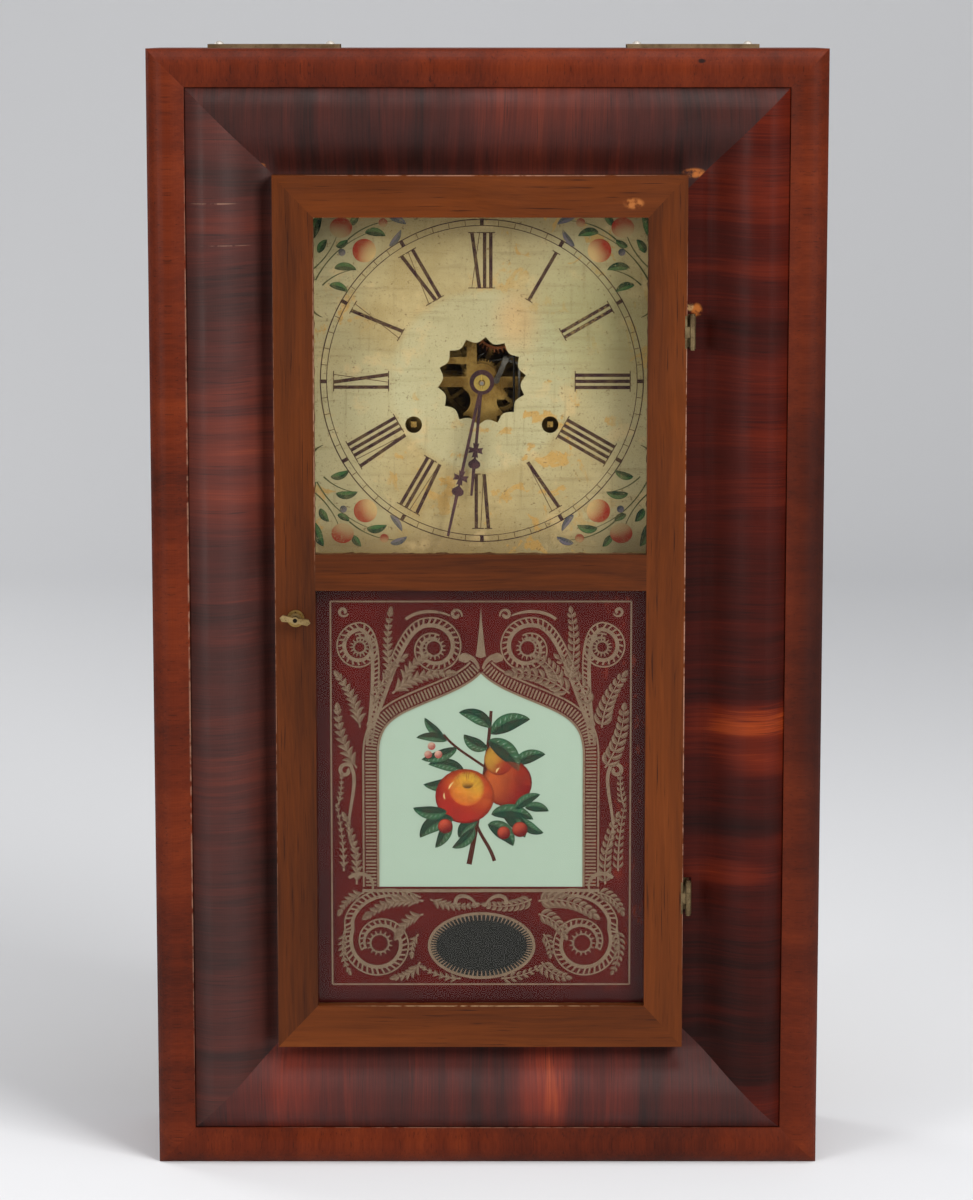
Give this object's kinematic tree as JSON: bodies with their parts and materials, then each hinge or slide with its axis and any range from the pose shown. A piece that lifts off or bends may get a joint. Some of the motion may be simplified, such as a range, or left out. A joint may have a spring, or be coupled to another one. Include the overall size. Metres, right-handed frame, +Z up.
{
  "type": "ogee shelf clock",
  "caption": "Weight-driven ogee shelf clock: veneered box case with ogee front frame, hinged glazed door, painted dial with hands, plated movement, pendulum, gong and two weights.",
  "frame": {"origin": "middle of the case's footprint, on the surface that the clock stands on", "axes": "+Z up, +X to the right of someone facing the dial, the dial faces -Y"},
  "size_m": [0.391, 0.118, 0.6612],
  "materials": {
    "case_mahogany": "old shellac over mahogany veneer",
    "door_mahogany": "old shellac over mahogany",
    "pine": "bare aged pine",
    "brass": "aged, lightly tarnished",
    "steel": "worn bright",
    "iron": "dark, dull",
    "tin": "dull tinned sheet",
    "blued_steel": "dark blued",
    "dial_zinc": "aged cream paint",
    "clear_glass": "clear old glass",
    "tablet_glass": "painted behind",
    "cord": "waxed cord"
  },
  "bodies": {
    "case": {"case_side_left": "case_mahogany", "case_side_right": "case_mahogany", "case_top": "case_mahogany", "case_bottom": "pine", "backboard": "pine", "ogee_left": "case_mahogany", "ogee_right": "case_mahogany", "ogee_top": "case_mahogany", "ogee_bottom": "case_mahogany", "outer_band": "case_mahogany", "partitions": "pine", "dial_battens": "pine", "movement_cleats": "pine", "dial": "dial_zinc", "iron_fixings": "iron", "pulley_covers": "tin", "pulley_pins": "iron", "hinge_case_halves": "brass", "front_plate": "brass", "back_plate": "brass", "plate_pillars": "brass", "verge_bracket": "steel", "gong_base": "iron", "gong_coil": "steel", "cords_over_pulleys": "cord", "time_weight_cord": "cord", "strike_weight_cord": "cord"},
    "door": {"door_latch_stile": "door_mahogany", "door_hinge_stile": "door_mahogany", "door_top_rail": "door_mahogany", "door_middle_rail": "door_mahogany", "door_bottom_rail": "door_mahogany", "dial_glass": "clear_glass", "tablet_glass": "tablet_glass", "hinge_door_halves": "brass", "latch_plate": "brass"},
    "latch": {"latch_turn": "brass"},
    "center_arbor": {"center_wheel": "brass", "minute_hand": "blued_steel", "hand_washer": "brass"},
    "hour_work": {"hour_wheel": "brass", "hour_hand": "blued_steel"},
    "minute_work": {"minute_wheel": "brass"},
    "third": {"third_wheel": "brass"},
    "escape": {"escape_wheel": "brass"},
    "verge": {"verge": "steel"},
    "pendulum": {"pendulum_rod": "iron", "pendulum_bob": "brass"},
    "time_great": {"time_great_wheel": "brass"},
    "strike_great": {"strike_great_wheel": "brass"},
    "time_drum": {"time_drum": "brass"},
    "strike_drum": {"strike_drum": "brass"},
    "right_pulley": {"pulley_right": "pine"},
    "left_pulley": {"pulley_left": "pine"},
    "pin_wheel": {"strike_pin_wheel": "brass"},
    "warning_wheel": {"warning_wheel": "brass"},
    "fly": {"fly": "steel"},
    "hammer": {"hammer": "steel"},
    "time_weight": {"time_weight": "iron"},
    "strike_weight": {"strike_weight": "iron"}
  },
  "joints": [
    {"name": "door_hinge", "type": "hinge", "parent": "case", "child": "door", "pos_m": [0.1182, -0.05, 0.3285], "axis": [0, 0, 1], "range_deg": [0, 150]},
    {"name": "latch_turn", "type": "hinge", "parent": "door", "child": "latch", "pos_m": [-0.1117, -0.048, 0.3285], "axis": [0, 1, 0], "range_deg": [0, 90]},
    {"name": "hands_turn", "type": "hinge", "parent": "case", "child": "center_arbor", "pos_m": [-0.0033, 0.012, 0.464], "axis": [0, 1, 0], "continuous": true},
    {"name": "hour_turn", "type": "hinge", "parent": "case", "child": "hour_work", "pos_m": [-0.0033, -0.003, 0.464], "axis": [0, 1, 0], "continuous": true},
    {"name": "minute_work_turn", "type": "hinge", "parent": "case", "child": "minute_work", "pos_m": [0.00805, -0.001, 0.45513], "axis": [0, 1, 0], "continuous": true},
    {"name": "time_great_turn", "type": "hinge", "parent": "case", "child": "time_great", "pos_m": [0.0367, 0.026, 0.4385], "axis": [0, 1, 0], "continuous": true},
    {"name": "third_turn", "type": "hinge", "parent": "case", "child": "third", "pos_m": [-0.01901, 0.012, 0.4863], "axis": [0, 1, 0], "continuous": true},
    {"name": "escape_turn", "type": "hinge", "parent": "case", "child": "escape", "pos_m": [0.0057, 0.007, 0.4936], "axis": [0, 1, 0], "continuous": true},
    {"name": "pendulum_swing", "type": "hinge", "parent": "case", "child": "pendulum", "pos_m": [0.0155, -0.0105, 0.508], "axis": [0, 1, 0], "range_deg": [-2.5, 2.5]},
    {"name": "verge_rock", "type": "hinge", "parent": "case", "child": "verge", "pos_m": [0.0106, 0, 0.4756], "axis": [0, 1, 0], "range_deg": [-5.1, 5.1]},
    {"name": "time_weight_slide", "type": "slide", "parent": "case", "child": "time_weight", "axis": [0, 0, 1], "range_m": [0, 0.36], "deforming": ["time_weight_cord"]},
    {"name": "time_drum_wind", "type": "hinge", "parent": "case", "child": "time_drum", "pos_m": [0.0367, 0.012, 0.4385], "axis": [0, 1, 0], "range_deg": [0, 1495.7]},
    {"name": "right_pulley_turn", "type": "hinge", "parent": "case", "child": "right_pulley", "pos_m": [0.12, 0.014, 0.6369], "axis": [0, 1, 0], "range_deg": [-1128.1, 0]},
    {"name": "strike_weight_slide", "type": "slide", "parent": "case", "child": "strike_weight", "axis": [0, 0, 1], "range_m": [0, 0.36], "deforming": ["strike_weight_cord"]},
    {"name": "strike_drum_wind", "type": "hinge", "parent": "case", "child": "strike_drum", "pos_m": [-0.0433, 0.012, 0.4385], "axis": [0, 1, 0], "range_deg": [-1495.7, 0]},
    {"name": "left_pulley_turn", "type": "hinge", "parent": "case", "child": "left_pulley", "pos_m": [-0.1247, 0.014, 0.6369], "axis": [0, 1, 0], "range_deg": [0, 1128.1]},
    {"name": "strike_great_turn", "type": "hinge", "parent": "case", "child": "strike_great", "pos_m": [-0.0433, 0.026, 0.4385], "axis": [0, 1, 0], "continuous": true},
    {"name": "pin_wheel_turn", "type": "hinge", "parent": "case", "child": "pin_wheel", "pos_m": [-0.0433, 0.018, 0.4727], "axis": [0, 1, 0], "continuous": true},
    {"name": "warning_wheel_turn", "type": "hinge", "parent": "case", "child": "warning_wheel", "pos_m": [-0.0512, 0.01, 0.48965], "axis": [0, 1, 0], "continuous": true},
    {"name": "fly_turn", "type": "hinge", "parent": "case", "child": "fly", "pos_m": [-0.04408, 0.012, 0.50199], "axis": [0, 1, 0], "continuous": true},
    {"name": "hammer_lift", "type": "hinge", "parent": "case", "child": "hammer", "pos_m": [-0.0693, 0.012, 0.416], "axis": [0, 1, 0], "range_deg": [0, 9]}
  ],
  "couplings": [
    {"joint": "hour_turn", "follows": "hands_turn", "ratio": 0.083333},
    {"joint": "minute_work_turn", "follows": "hands_turn", "ratio": -0.33333},
    {"joint": "time_great_turn", "follows": "hands_turn", "ratio": -0.13889},
    {"joint": "third_turn", "follows": "hands_turn", "ratio": -10},
    {"joint": "escape_turn", "follows": "hands_turn", "ratio": 105},
    {"joint": "verge_rock", "follows": "pendulum_swing", "ratio": 2.0253},
    {"joint": "time_drum_wind", "follows": "time_weight_slide", "rad_per_m": 72.464},
    {"joint": "right_pulley_turn", "follows": "time_weight_slide", "rad_per_m": -54.645},
    {"joint": "strike_drum_wind", "follows": "strike_weight_slide", "rad_per_m": -72.464},
    {"joint": "left_pulley_turn", "follows": "strike_weight_slide", "rad_per_m": 54.645},
    {"joint": "strike_great_turn", "follows": "pin_wheel_turn", "ratio": -0.125},
    {"joint": "warning_wheel_turn", "follows": "pin_wheel_turn", "ratio": -7.5},
    {"joint": "fly_turn", "follows": "pin_wheel_turn", "ratio": 53.571}
  ]
}
